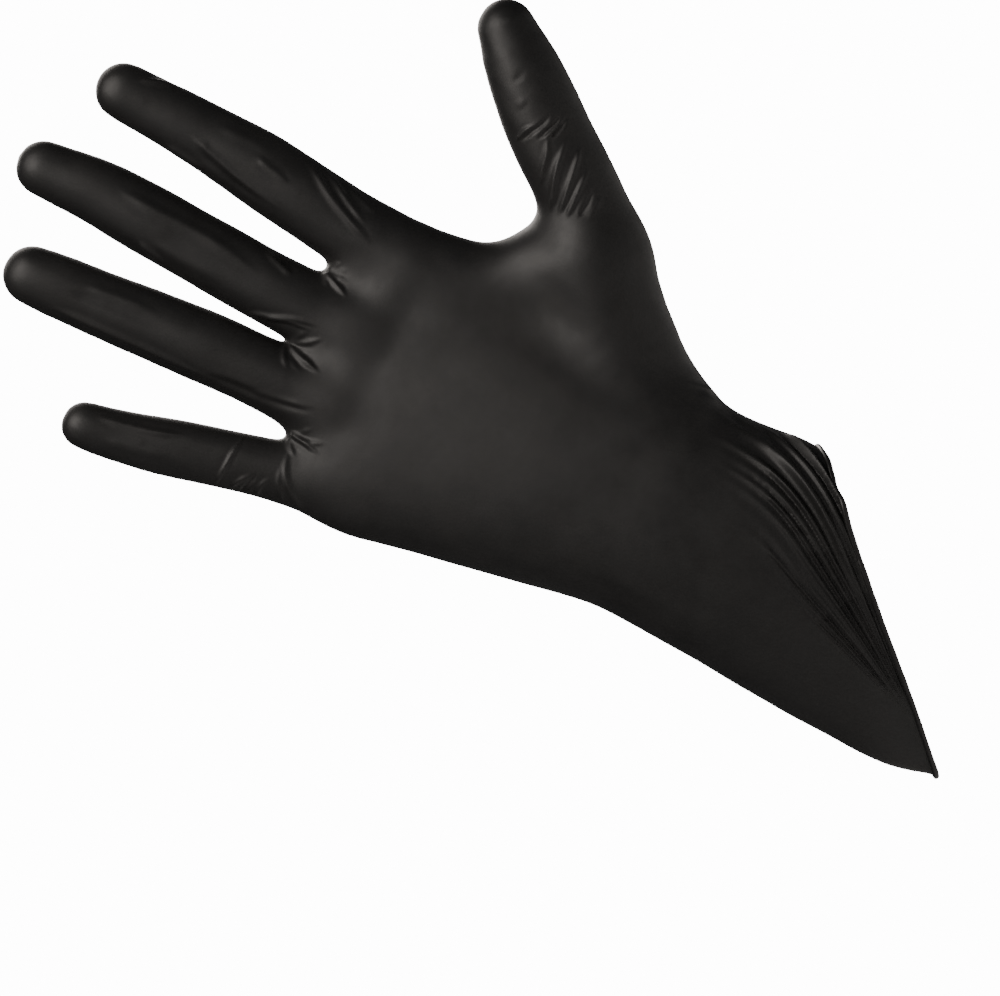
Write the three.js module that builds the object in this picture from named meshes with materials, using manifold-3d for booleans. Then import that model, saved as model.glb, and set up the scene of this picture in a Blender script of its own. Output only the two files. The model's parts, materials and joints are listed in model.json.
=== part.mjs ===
// Disposable nitrile glove for a right hand, in the shape it takes on a spread hand while the cuff is
// drawn out at the little-finger side. Millimetres. +Z runs from the wrist to the fingertips, the palm
// faces -Y and the thumb is on the +X side. The origin is on the arm's axis, just inside the cuff's mouth.
//
// The glove is one dipped film. Here the film is divided where it bends: a firm length of stall on each
// phalanx, a short fold ring at each knuckle, the palm, the wrist fold, the cuff and its rolled bead.
import * as THREE from "three";
import Module from "manifold-3d";

const wasm = await Module();
wasm.setup();

// ---- Driving dimensions -------------------------------------------------------------------------
const FILM = 0.12; // wall of the film
const BEAD_RADIUS = 0.7; // rolled edge of the cuff
const GAP = 0.3; // free space between two neighbouring lengths of film
const FINGER_FLATNESS = 0.88; // a finger's depth over its width
const FINGER_SIDES = 14;
const PALM_SIDES = 32;
const BEAD_SIDES = 8;
const DOME_STEPS = [25, 50, 70]; // degrees round a fingertip's dome
const FOLD_CLEARANCE = 0.4; // each fold ring is this much longer at each end than its bend needs

// Bend of the film at each kind of knuckle, in degrees.
const BEND = { wrist: 40, root: 65, mid: 75, tip: 50, thumbRoot: 25, thumbTip: 60 };

// A digit's joints as [x, y, z, half width]: inside the palm, then each hinge, then the dome's centre.
// `reach` is from the dome's centre to the very tip.
const DIGITS = {
  index: {
    joints: [[17.6, 0, 138, 9.5], [19, 0, 165, 9.4], [20.8, -0.5, 186, 9.2], [21.6, -1.5, 207, 7.9],
      [21.8, -3, 221.5, 7.4]],
    hinges: ["root", "mid", "tip"],
    reach: 7.8,
  },
  middle: {
    joints: [[-4.3, 0, 138, 9], [-4.3, 0, 165, 8.9], [-4.2, -0.5, 188, 8.7], [-3.9, -1.5, 212, 8.3],
      [-4.6, -3, 229, 7.2]],
    hinges: ["root", "mid", "tip"],
    reach: 8.6,
  },
  ring: {
    joints: [[-22.6, 0, 138, 8.9], [-24.2, 0, 164, 8.8], [-26.4, -0.5, 185, 8.8], [-28.8, -1.5, 206, 8.1],
      [-30, -3, 219.5, 7.3]],
    hinges: ["root", "mid", "tip"],
    reach: 8,
  },
  little: {
    joints: [[-41.6, 0, 134, 7.9], [-46.6, 0, 153.5, 7.6], [-51.6, -0.5, 170.5, 7.3], [-55, -1.5, 183, 6.6],
      [-56.9, -2.5, 190, 5.8]],
    hinges: ["root", "mid", "tip"],
    reach: 6.6,
  },
  thumb: {
    joints: [[42, -5, 98, 12.5], [56.5, -7, 114, 10.3], [64, -8, 124, 10], [79.4, -10, 144.6, 8.3]],
    hinges: ["thumbRoot", "thumbTip"],
    reach: 8.6,
  },
};

// Sections of the cuff, wrist and palm. Each is cut on a plane through its left and right edge points
// [x, z] and along Y. `front` and `back` are its depths, and `lean` moves the depth towards the thumb.
const CUFF = [
  { left: [-31.5, -37.5], right: [26.4, 26], front: 16.5, back: 16, lean: 0.55 },
  { left: [-34.8, -22], right: [26.2, 30], front: 18, back: 17.5, lean: 0.42 },
  { left: [-35.2, 4], right: [25.4, 36], front: 19.5, back: 19, lean: 0.25 },
  { left: [-34.4, 27], right: [24.6, 42], front: 19.8, back: 19.2, lean: 0.1 },
];
const WRIST_Z = 57;
const WRIST_EDGES = [-34.8, 25.3];
const WRIST_DEPTH = 19.6;
const PALM = [
  { left: [-40, 82], right: [26, 82], front: 17.5, back: 15.5 },
  { left: [-44.4, 100], right: [26.5, 100], front: 16, back: 14 },
  { left: [-48, 116], right: [27, 116], front: 14.5, back: 13.5 },
  { left: [-49.8, 130], right: [27.2, 130], front: 13.5, back: 13 },
  { left: [-49.6, 137], right: [27, 144], front: 11.5, back: 11.5 },
  { left: [-44.5, 142.5], right: [23, 152.5], front: 8, back: 8 },
  { left: [-38, 144.5], right: [17, 155], front: 3.5, back: 3.5 },
];
// The ball of the thumb and the web between thumb and index finger, as chains of [x, y, z, half width].
const THENAR = [[22, -1, 77, 11], [28, -2.5, 83.5, 12.8], [42, -5, 98, 12.2]];
const WEB = [[18, 0, 134, 9], [24.5, -1, 115.5, 10.2], [41, -4, 103, 10.6]];

// ---- Sections -----------------------------------------------------------------------------------
// A section is a function of an inset: it gives the ring of points that lies that far inside the film.

const lerp = THREE.MathUtils.lerp;
const radians = THREE.MathUtils.degToRad;

function palmSection({ left, right, front, back, lean = 0 }) {
  const start = new THREE.Vector3(left[0], 0, left[1]);
  const end = new THREE.Vector3(right[0], 0, right[1]);
  const across = end.clone().sub(start).normalize();
  const centre = start.clone().lerp(end, 0.5);
  const halfWidth = start.distanceTo(end) / 2;
  return (inset) => Array.from({ length: PALM_SIDES }, (_, i) => {
    const angle = (2 * Math.PI * i) / PALM_SIDES;
    const depth = (Math.sin(angle) < 0 ? front : back) - inset;
    const point = centre.clone().addScaledVector(across, (halfWidth - inset) * Math.cos(angle));
    point.y = depth * Math.sin(angle) * (1 + lean * Math.cos(angle));
    return point;
  });
}

function digitSection(centre, direction, halfWidth) {
  const across = new THREE.Vector3(0, 1, 0).cross(direction).normalize();
  const through = direction.clone().cross(across).normalize();
  return (inset) => Array.from({ length: FINGER_SIDES }, (_, i) => {
    const angle = (2 * Math.PI * i) / FINGER_SIDES;
    return centre.clone()
      .addScaledVector(across, (halfWidth - inset) * Math.cos(angle))
      .addScaledVector(through, (halfWidth * FINGER_FLATNESS - inset) * Math.sin(angle));
  });
}

function pole(point, direction) {
  return (inset) => [point.clone().addScaledVector(direction, -inset)];
}

// ---- Solids -------------------------------------------------------------------------------------

// A mesh in the making: rings of points, and bands of triangles between them.
class Skin {
  positions = [];
  triangles = [];

  ring(points) {
    const first = this.positions.length / 3;
    points.forEach((p) => this.positions.push(p.x, p.y, p.z));
    return { first, count: points.length };
  }

  // A ring of one point closes an end. An inward band faces the other way on the same diagonals.
  band(a, b, inward = false) {
    const at = (ring, i) => ring.first + (i % ring.count);
    const face = (...corners) => this.triangles.push(...(inward ? corners.reverse() : corners));
    for (let i = 0; i < Math.max(a.count, b.count); i++) {
      if (a.count > 1) face(at(a, i), at(a, i + 1), at(b, i + 1));
      if (b.count > 1) face(at(a, i), at(b, i + 1), at(b, i));
    }
  }

  bands(rings, inward = false) {
    rings.slice(1).forEach((ring, i) => this.band(rings[i], ring, inward));
  }

  volume() {
    const corner = (i) => new THREE.Vector3().fromArray(this.positions, 3 * this.triangles[i]);
    let volume = 0;
    for (let i = 0; i < this.triangles.length; i += 3) {
      volume += corner(i).dot(corner(i + 1).cross(corner(i + 2))) / 6;
    }
    return volume;
  }

  geometry() {
    const geometry = new THREE.BufferGeometry();
    geometry.setAttribute("position", new THREE.Float32BufferAttribute(this.positions, 3));
    geometry.setIndex(this.volume() < 0 ? this.triangles.reverse() : this.triangles);
    return geometry;
  }
}

// The film along some sections, with a wall of FILM. It is closed where it ends on a pole.
function film(sections) {
  const skin = new Skin();
  const outside = sections.map((section) => skin.ring(section(0)));
  const inside = sections.map((section) => skin.ring(section(FILM)));
  skin.bands(outside);
  skin.bands(inside, true);
  skin.band(inside[0], outside[0]);
  if (outside.at(-1).count > 1) skin.band(outside.at(-1), inside.at(-1));
  return skin.geometry();
}

// A filled body along some sections, with flat ends.
function filled(sections, inset) {
  const skin = new Skin();
  const rings = sections.map((section) => section(inset));
  const middle = (ring) => [ring.reduce((sum, p) => sum.add(p), new THREE.Vector3()).divideScalar(ring.length)];
  skin.bands([middle(rings[0]), ...rings, middle(rings.at(-1))].map((ring) => skin.ring(ring)));
  return skin.geometry();
}

function toManifold(geometry) {
  return new wasm.Manifold(new wasm.Mesh({
    numProp: 3,
    vertProperties: geometry.getAttribute("position").array,
    triVerts: new Uint32Array(geometry.index.array),
  }));
}

function toGeometry(manifold) {
  const mesh = manifold.getMesh();
  const geometry = new THREE.BufferGeometry();
  geometry.setAttribute("position", new THREE.BufferAttribute(mesh.vertProperties, 3));
  geometry.setIndex(new THREE.BufferAttribute(mesh.triVerts, 1));
  return geometry;
}

// ---- Digits -------------------------------------------------------------------------------------

const vector = ([x, y, z]) => new THREE.Vector3(x, y, z);

// A digit's centreline: a section at a signed distance from a joint, turned with the bone it lies on.
function centreline({ joints }) {
  const points = joints.map(vector);
  const bones = points.slice(1).map((p, i) => p.clone().sub(points[i]));
  const along = (joint, distance) => {
    const bone = distance < 0 ? joint - 1 : Math.min(joint, bones.length - 1);
    const direction = bones[bone].clone().normalize();
    const share = (bone === joint ? 0 : 1) + distance / bones[bone].length();
    const width = lerp(joints[bone][3], joints[bone + 1][3], share);
    return digitSection(points[joint].clone().addScaledVector(direction, distance), direction, width);
  };
  const atHinge = (joint) => {
    const direction = bones[joint - 1].clone().normalize().add(bones[joint].clone().normalize()).normalize();
    return digitSection(points[joint], direction, joints[joint][3]);
  };
  return { points, bones, along, atHinge };
}

const foldHalf = (digit, joint) =>
  digit.joints[joint][3] * FINGER_FLATNESS * Math.tan(radians(BEND[digit.hinges[joint - 1]] / 2)) + FOLD_CLEARANCE;

function foldRing(digit, line, joint) {
  const half = foldHalf(digit, joint) - GAP / 2;
  return film([line.along(joint, -half), line.atHinge(joint), line.along(joint, half)]);
}

// The firm length of stall between two folds.
function stall(digit, line, joint) {
  const from = foldHalf(digit, joint) + GAP / 2;
  const to = foldHalf(digit, joint + 1) + GAP / 2;
  return film([line.along(joint, from), line.along(joint + 1, -to)]);
}

function fingertip(digit, line) {
  const last = digit.joints.length - 1;
  const centre = line.points[last];
  const direction = line.bones[last - 1].clone().normalize();
  const dome = DOME_STEPS.map(radians).map((angle) => digitSection(
    centre.clone().addScaledVector(direction, digit.reach * Math.sin(angle)),
    direction,
    digit.joints[last][3] * Math.cos(angle),
  ));
  return film([
    line.along(last - 1, foldHalf(digit, last - 1) + GAP / 2),
    line.along(last, 0),
    ...dome,
    pole(centre.clone().addScaledVector(direction, digit.reach), direction),
  ]);
}

// ---- Palm, wrist and cuff -----------------------------------------------------------------------

const wristFoldHalf = WRIST_DEPTH * Math.tan(radians(BEND.wrist / 2)) + FOLD_CLEARANCE;
const wristSection = (z) => palmSection({
  left: [WRIST_EDGES[0], z],
  right: [WRIST_EDGES[1], z],
  front: WRIST_DEPTH,
  back: WRIST_DEPTH - 0.8,
});

// A filled chain of round sections, for the ball of the thumb and the web.
function chain(stations, inset) {
  const line = centreline({ joints: stations });
  const sections = stations.map((_, i) => {
    if (i === 0) return line.along(0, 0);
    return i === stations.length - 1 ? line.along(i, -0) : line.atHinge(i);
  });
  const [first, last] = [line.bones[0].clone().normalize(), line.bones.at(-1).clone().normalize()];
  const cap = (station, direction, sign) => digitSection(
    vector(station).addScaledVector(direction, sign * station[3] * 0.55), direction, station[3] * 0.6);
  return filled([cap(stations[0], first, -1), ...sections, cap(stations.at(-1), last, 1)], inset);
}

// A digit's stub: from inside the palm to the foot of its root fold. It is open there, so the inside
// runs on past the outside.
function stub(digit, inset) {
  const line = centreline(digit);
  const end = foldHalf(digit, 1) + GAP / 2;
  const beyond = inset > 0 ? GAP : 0;
  return filled([line.along(0, 0), line.along(1, -end), ...(beyond ? [line.along(1, -end + beyond)] : [])], inset);
}

function palmBody(inset) {
  const start = WRIST_Z + wristFoldHalf + GAP / 2;
  const mouth = inset > 0 ? [wristSection(start - GAP)] : [];
  const body = filled([...mouth, wristSection(start), ...PALM.map(palmSection)], inset);
  const others = [chain(THENAR, inset), chain(WEB, inset), ...Object.values(DIGITS).map((d) => stub(d, inset))];
  return others.reduce((sum, geometry) => sum.add(toManifold(geometry)), toManifold(body));
}

function bead() {
  const rim = palmSection(CUFF[0])(FILM / 2);
  const inward = palmSection(CUFF[1])(FILM / 2);
  const centres = rim.map((p, i) => {
    const outward = p.clone().sub(inward[i]).normalize();
    return p.clone().addScaledVector(outward, BEAD_RADIUS + GAP);
  });
  const skin = new Skin();
  const rings = centres.map((centre, i) => {
    const before = centres.at(i - 1);
    const after = centres[(i + 1) % centres.length];
    const tangent = after.clone().sub(before).normalize();
    const out = rim[i].clone().sub(inward[i]).normalize();
    const side = tangent.clone().cross(out).normalize();
    const up = side.clone().cross(tangent);
    return skin.ring(Array.from({ length: BEAD_SIDES }, (_, k) => {
      const angle = (2 * Math.PI * k) / BEAD_SIDES;
      return centre.clone()
        .addScaledVector(side, BEAD_RADIUS * Math.cos(angle))
        .addScaledVector(up, BEAD_RADIUS * Math.sin(angle));
    }));
  });
  skin.bands([...rings, rings[0]]);
  return skin.geometry();
}

// ---- Assembly -----------------------------------------------------------------------------------

const nitrile = new THREE.MeshStandardMaterial({ color: 0x1d1b1b, roughness: 0.52, metalness: 0 });
const beadNitrile = new THREE.MeshStandardMaterial({ color: 0x161515, roughness: 0.45, metalness: 0 });

// Adds a mesh, given in the glove's frame, to a group whose own origin is at `pivot`.
function place(group, pivot, name, geometry, material = nitrile) {
  geometry.translate(-pivot.x, -pivot.y, -pivot.z);
  geometry.computeVertexNormals();
  const mesh = new THREE.Mesh(geometry, material);
  mesh.name = name;
  group.add(mesh);
}

// A group that turns about `pivot`, inside a group that turns about `parentPivot`.
function jointGroup(parent, parentPivot, pivot) {
  const group = new THREE.Group();
  group.position.copy(pivot).sub(parentPivot);
  parent.add(group);
  return group;
}

const glove = new THREE.Group();
const mouth = new THREE.Vector3();
const wrist = new THREE.Vector3(0, 0, WRIST_Z);

const wristBottom = wristSection(WRIST_Z - wristFoldHalf - GAP / 2);
place(glove, mouth, "cuff", film([...CUFF.map(palmSection), wristBottom]));
place(glove, mouth, "cuff_bead", bead(), beadNitrile);
place(glove, mouth, "wrist_fold", film([
  wristSection(WRIST_Z - wristFoldHalf + GAP / 2),
  wristSection(WRIST_Z),
  wristSection(WRIST_Z + wristFoldHalf - GAP / 2),
]));

const hand = jointGroup(glove, mouth, wrist);
place(hand, wrist, "palm", toGeometry(palmBody(0).subtract(palmBody(FILM))));

const STALLS = { 3: ["proximal", "middle"], 2: ["base"] }; // names of the firm lengths, by number of hinges
for (const [name, digit] of Object.entries(DIGITS)) {
  const line = centreline(digit);
  const hinges = digit.hinges.length;
  let parent = hand;
  let parentPivot = wrist;
  digit.hinges.forEach((kind, i) => {
    const joint = i + 1;
    const knuckle = { root: "root", thumbRoot: "root", mid: "mid", tip: "tip", thumbTip: "tip" }[kind];
    place(parent, parentPivot, `${name}_${knuckle}_fold`, foldRing(digit, line, joint));
    const group = jointGroup(parent, parentPivot, line.points[joint]);
    const isLast = joint === hinges;
    const part = isLast ? `${name}_fingertip` : `${name}_${STALLS[hinges][i]}_stall`;
    const geometry = isLast ? fingertip(digit, line) : stall(digit, line, joint);
    place(group, line.points[joint], part, geometry);
    parent = group;
    parentPivot = line.points[joint];
  });
}

export default glove;
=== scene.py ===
"""A black nitrile glove on a spread right hand, its cuff drawn out to a corner.

The film is one surface, worked out from a distance field round the frame's joints, creased by folds,
and cut into pieces, some of which ride on a body. Lengths inside the script are in millimetres until a
mesh is made.
"""

import json
import math

import bmesh
import bpy
import numpy as np
from mathutils import Matrix, Vector


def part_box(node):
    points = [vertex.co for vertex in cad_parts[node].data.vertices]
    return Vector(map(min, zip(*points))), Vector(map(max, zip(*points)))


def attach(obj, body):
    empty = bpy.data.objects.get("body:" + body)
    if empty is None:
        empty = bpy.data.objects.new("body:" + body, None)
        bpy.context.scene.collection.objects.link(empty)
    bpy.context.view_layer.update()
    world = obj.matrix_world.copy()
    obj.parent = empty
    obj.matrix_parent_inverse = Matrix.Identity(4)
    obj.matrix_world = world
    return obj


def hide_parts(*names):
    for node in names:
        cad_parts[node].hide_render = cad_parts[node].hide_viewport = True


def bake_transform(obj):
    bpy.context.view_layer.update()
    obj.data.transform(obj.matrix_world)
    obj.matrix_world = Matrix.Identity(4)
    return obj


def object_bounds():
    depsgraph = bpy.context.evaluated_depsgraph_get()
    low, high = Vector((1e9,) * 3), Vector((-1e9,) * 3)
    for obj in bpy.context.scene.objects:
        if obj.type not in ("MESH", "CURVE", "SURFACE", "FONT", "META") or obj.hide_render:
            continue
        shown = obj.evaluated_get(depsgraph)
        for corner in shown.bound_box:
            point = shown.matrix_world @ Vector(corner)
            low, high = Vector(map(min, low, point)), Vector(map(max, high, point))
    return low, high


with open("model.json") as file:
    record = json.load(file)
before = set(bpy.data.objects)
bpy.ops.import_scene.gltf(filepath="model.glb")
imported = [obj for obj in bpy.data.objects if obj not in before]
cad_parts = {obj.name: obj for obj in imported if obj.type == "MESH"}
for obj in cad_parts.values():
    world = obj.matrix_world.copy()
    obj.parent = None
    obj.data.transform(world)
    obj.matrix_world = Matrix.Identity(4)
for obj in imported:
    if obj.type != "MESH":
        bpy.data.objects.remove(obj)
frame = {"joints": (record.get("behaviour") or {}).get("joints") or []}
cad_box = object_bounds()

MM = 0.001  # a millimetre in metres
FILM = 0.12  # wall of the film
FINGERS = ("index", "middle", "ring", "little")
JOINT = {j["name"]: np.array(j["pos_m"]) / MM for j in frame["joints"]}


# ---- Smooth runs and blends ---------------------------------------------------------------------


def smooth_run(stations, samples):
    """A Catmull-Rom run through given rows of numbers, with that many samples between two rows."""
    rows = np.array(stations, float)
    rows = np.vstack([2 * rows[0] - rows[1], rows, 2 * rows[-1] - rows[-2]])
    t = np.linspace(0, 1, samples, endpoint=False)[:, None]
    run = []
    for a, b, c, d in zip(rows, rows[1:], rows[2:], rows[3:]):
        square = (2 * a - 5 * b + 4 * c - d) * t**2
        cube = (3 * b - a - 3 * c + d) * t**3
        run.append(0.5 * (2 * b + (c - a) * t + square + cube))
    return np.vstack([*run, rows[-2][None]])


def smooth_min(a, b, k):
    """The lower of two fields, rounded over a width k where they meet."""
    h = np.clip(0.5 + 0.5 * (b - a) / k, 0, 1)
    return b + (a - b) * h - k * h * (1 - h)


def smooth_step(low, high, value):
    """0 up to low, 1 from high on, and a smooth rise between them."""
    t = np.clip((value - low) / (high - low), 0, 1)
    return t * t * (3 - 2 * t)


def waves(points, size, seed):
    """Smooth seeded noise from a few crossed sine waves, between about -1 and 1."""
    rng = np.random.default_rng(seed)
    total = np.zeros(len(points))
    for _ in range(7):
        heading = rng.normal(size=3)
        total += np.sin(points @ (heading / size * 2.2) + rng.uniform(0, 2 * math.pi))
    return total / 3.5


# ---- The hand that fills the film ---------------------------------------------------------------
# `feet` are centres inside the palm, and `girth` is (mm beyond the root joint, half width). The centreline
# stops `reach` short of the fingertip's end. `lean` moves it sideways at each joint and at the end, because
# the finger inside isn't straight.

DIGITS = {
    "index": {
        "feet": [(14, 0.5, 122), (17.2, 0.5, 143)],
        "girth": [(-44, 9.5), (-22, 10), (-7, 9.6), (14, 9.35), (22, 8.9), (35, 8.15), (47, 7.5), (57, 7)],
        "reach": 7.4,
        "lean": (0, 0, -0.2, -0.7),
    },
    "middle": {
        "feet": [(-3, 1, 124), (-4.1, 0.6, 143)],
        "girth": [(-42, 9.5), (-22, 9.8), (-5, 9.2), (7, 8.85), (25, 8.75), (38, 8.65), (50, 8.1), (65, 7.1)],
        "reach": 7.6,
        "lean": (0, 0, 0, -1.6),
    },
    "ring": {
        "feet": [(-19, 0.8, 122), (-22.6, 0.5, 142)],
        "girth": [(-43, 9.5), (-22, 9.6), (-5, 8.9), (9, 8.9), (24, 8.7), (38, 8.2), (50, 7.8), (57, 7.4)],
        "reach": 7.6,
        "lean": (0, 0.2, 0.2, -0.3),
    },
    "little": {
        "feet": [(-34, 0.5, 112), (-40, 0.5, 130)],
        "girth": [(-44, 8.5), (-24, 8.4), (-8, 7.5), (0, 7.25), (17, 7.1), (28, 6.5), (38, 5.7)],
        "reach": 6.2,
        "lean": (0, -0.1, -0.2, -0.6),
    },
    "thumb": {
        "feet": [(42, -4.2, 98), (50, -5.6, 106)],
        "girth": [(-22, 11.6), (-11, 10.8), (0, 10.4), (12, 10.3), (22, 9.9), (31, 9), (38.5, 7.4)],
        "reach": 7.8,
        "lean": (-0.2, -0.7, 0.4),
    },
}
TIP_TURN = (0.55, 1.3, 1)  # a fingertip leans sideways less, and forwards more, than the bone before it

# Depth over width.
FINGER_FLATNESS = 0.88
THUMB_FLATNESS = 0.92
BALL_FLATNESS = 0.95
WEB_FLATNESS = 0.8

# Chains of (x, y, z, half width): the ball of the thumb, the thumb's web, and the webs of the fingers.
THENAR = [(14, -1, 61, 8.5), (22, -1.6, 73, 10.6), (30, -3.4, 86, 12.6), (40.5, -4, 98, 11.8)]
THUMB_WEB = [(19, 0, 137, 9), (22.6, -1, 120, 9.4), (39, -4, 102, 10)]
FINGER_WEBS = [
    [(19, 0, 149, 6.9), (-4.2, 0, 149, 6.9)],
    [(-4.2, 0, 146.6, 6.9), (-24, 0, 147, 6.7)],
    [(-23, 0, 136, 4.4), (-42, 0, 126.5, 4.4)],
    [(17, 0, 139.5, 8.8), (-4, 0, 139.5, 8.8)],
    [(-4, 0, 139.5, 8.8), (-22, 0, 139, 8.6)],
    [(-23, 0, 130, 7.2), (-40, 0, 121, 6.6)],
]

# Palm, wrist and cuff by level: (level, left edge, right edge, front depth, back depth, lean). Above the
# wrist a level is a height. Below it the levels fan out, down to the slanted rim. Lean makes a section deeper
# at its right edge than at its left.
WRIST_LEVEL = 57.0
RIM_LEVEL = -6.1
RIM_SLOPE = 1.126
FAN_X = -2.2
FAN = RIM_SLOPE / (WRIST_LEVEL - RIM_LEVEL)
BODY = [
    (-16, -31, 26.6, 15, 15, 0.62),
    (RIM_LEVEL, -31.4, 26.6, 16.5, 16, 0.6),
    (5, -34.9, 26.5, 18, 17.5, 0.45),
    (20, -35.4, 25.4, 19.2, 18.6, 0.25),
    (36, -34.9, 24.6, 19.8, 19, 0.08),
    (50, -34.6, 24.4, 19.6, 18.8, 0),
    (57, -34.8, 25.2, 19.3, 18.6, 0),
    (68, -37, 26, 18.2, 17.2, 0),
    (84, -40.6, 26, 16.4, 15.4, 0),
    (100, -44.3, 26, 14.2, 14, 0),
    (116, -48.1, 26, 11.8, 12.4, 0),
    (130, -50.1, 26, 9.8, 11, 0),
    (150, -52, 26, 8.4, 10, 0),
    (170, -53, 26, 8, 10, 0),
]
CAP = (122, 147.5)  # levels between which the palm's top rounds off
SQUARENESS = 2.35  # 2 is an ellipse

# Samples between two stations of a run.
RUN_STEPS = 8
GIRTH_STEPS = 6
WEB_STEPS = 4
FOLD_STEPS = 6

# Widths over which two shapes flow into each other.
WIDEST_BLEND = 16.0
BALL_BLEND = 9
WEB_BLEND = 5
BETWEEN_FINGERS = 1.2
FINGER_BLEND = 3
THUMB_BLEND = 5

FAR = 60.0  # stands for the distance to anything out of reach
RELAX_LOSS = 0.18  # what evening out the film takes off a finger's radius
BODY_PROBE = 0.2  # step over which the body's slope is measured

# Floors that keep a divisor away from 0.
LEAST_FAN = 0.2
LEAST_DEPTH = 0.05
LEAST_BODY_SLOPE = 0.012
LEAST_FILM_SLOPE = 0.3


def digit_run(name):
    """The centreline and half width of a digit, as samples of (x, y, z, half width)."""
    digit = DIGITS[name]
    hinges = [JOINT[f"{name}_{k}_bend"] for k in ("root", "mid", "tip") if f"{name}_{k}_bend" in JOINT]
    low, high = (np.array(c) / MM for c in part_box(f"{name}_fingertip"))
    bone = hinges[-1] - hinges[-2]
    if name == "thumb":
        length = (high[2] - hinges[-1][2] - digit["reach"]) / (bone[2] / np.linalg.norm(bone))
        end = hinges[-1] + bone / np.linalg.norm(bone) * length
    else:
        top = high[2] - digit["reach"]
        share = (top - hinges[-1][2]) / bone[2]
        end = hinges[-1] + bone * share * TIP_TURN
    middles = [m + (lean, 0, 0) for m, lean in zip([*hinges, end], digit["lean"])]
    centres = smooth_run([*digit["feet"], *middles], RUN_STEPS)
    steps = np.linalg.norm(np.diff(centres, axis=0), axis=1)
    along = np.concatenate([[0], np.cumsum(steps)])
    root = along[RUN_STEPS * len(digit["feet"])]
    girth = smooth_run(digit["girth"], GIRTH_STEPS)
    return np.column_stack([centres, np.interp(along - root, girth[:, 0], girth[:, 1])])


RUNS = {name: digit_run(name) for name in DIGITS}
BODY_RUN = smooth_run(BODY, RUN_STEPS)
THENAR_RUN = smooth_run(THENAR, WEB_STEPS)
THUMB_WEB_RUN = smooth_run(THUMB_WEB, WEB_STEPS)
FINGER_WEB_RUNS = [np.array(web, float) for web in FINGER_WEBS]


def chain(points, run, flatness):
    """Distance to a run of round sections, flattened along Y. Points far from it get FAR."""
    margin = run[:, 3].max() + WIDEST_BLEND
    near = np.all((points > run[:, :3].min(0) - margin) & (points < run[:, :3].max(0) + margin), axis=1)
    local = points[near]
    best = np.full(len(local), FAR)
    stretch = np.array([1, 1 / flatness, 1])
    for a, b in zip(run[:-1], run[1:]):
        step = b[:3] - a[:3]
        t = np.clip((local - a[:3]) @ step / (step @ step), 0, 1)
        apart = (local - a[:3] - t[:, None] * step) * stretch
        best = np.minimum(best, np.sqrt((apart**2).sum(1)) - a[3] - (b[3] - a[3]) * t)
    distance = np.full(len(points), FAR)
    distance[near] = best
    return distance


def level(x, z):
    """A point's level: its height above the wrist, and its share of the fan below it."""
    across = FAN * (x - FAN_X)
    return np.where(z >= WRIST_LEVEL, z, (z - across * WRIST_LEVEL) / np.maximum(1 - across, LEAST_FAN))


def body_shape(points):
    """Below 0 inside the palm, wrist and cuff, and above 0 outside, in no unit of length."""
    x, y, z = points.T
    at = level(x, z)
    left, right, front, back, lean = (np.interp(at, BODY_RUN[:, 0], BODY_RUN[:, i]) for i in range(1, 6))
    u = (2 * x - left - right) / (right - left)
    v = y / (np.where(y < 0, front, back) * np.maximum(1 + lean * u, LEAST_DEPTH))
    w = np.maximum(0, (at - CAP[0]) / (CAP[1] - CAP[0]))
    return (np.abs(u) ** SQUARENESS + np.abs(v) ** SQUARENESS + w**SQUARENESS) ** (1 / SQUARENESS) - 1


def gradient(field, points, values, step):
    """Slope of a field along each axis, measured over a small step."""
    slopes = np.empty_like(points)
    for axis in range(3):
        moved = points.copy()
        moved[:, axis] += step
        slopes[:, axis] = (field(moved) - values) / step
    return slopes


def body(points):
    """Distance to the palm, wrist and cuff, in millimetres, and true only close to them."""
    values = body_shape(points)
    steepness = np.linalg.norm(gradient(body_shape, points, values, BODY_PROBE), axis=1)
    return values / np.maximum(steepness, LEAST_BODY_SLOPE)


def glove(points):
    """Distance to the outside of the film, in millimetres, and true only close to it."""
    f = body(points)
    ball = chain(points, THENAR_RUN, BALL_FLATNESS)
    thumb_web = chain(points, THUMB_WEB_RUN, WEB_FLATNESS)
    f = smooth_min(f, smooth_min(ball, thumb_web, WIDEST_BLEND), BALL_BLEND)
    for run in FINGER_WEB_RUNS:
        f = smooth_min(f, chain(points, run, WEB_FLATNESS), WEB_BLEND)
    fingers = np.full(len(points), FAR)
    for name in FINGERS:
        fingers = smooth_min(fingers, chain(points, RUNS[name], FINGER_FLATNESS), BETWEEN_FINGERS)
    f = smooth_min(f, fingers, FINGER_BLEND)
    thumb = chain(points, RUNS["thumb"], THUMB_FLATNESS)
    return smooth_min(f, thumb, THUMB_BLEND) - RELAX_LOSS


# ---- From the field to a surface ----------------------------------------------------------------

COARSE = 3.2  # pitch of the first, coarse grid
BAND = 1.5 * COARSE  # distance from the surface within which the fine grid is worked out
PITCH = 0.8
RELAX_REACH = 7.0  # square millimetres: how far the film's stiffness evens it out
FOLD_RELAX = 2  # rounds of evening out just before the film is creased
FILM_PROBE = 0.05  # step over which the film's slope is measured
LOW_CORNER = np.array([-66.0, -27.0, -46.0])
HIGH_CORNER = np.array([92.0, 27.0, 242.0])
CORNERS = [(i, j, k) for i in (0, 1) for j in (0, 1) for k in (0, 1)]


def grid_points(pitch):
    """Counts and coordinates of a grid along each axis."""
    counts = np.ceil((HIGH_CORNER - LOW_CORNER) / pitch).astype(int) + 1
    axes = [LOW_CORNER[i] + pitch * np.arange(counts[i]) for i in range(3)]
    return counts, axes


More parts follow.
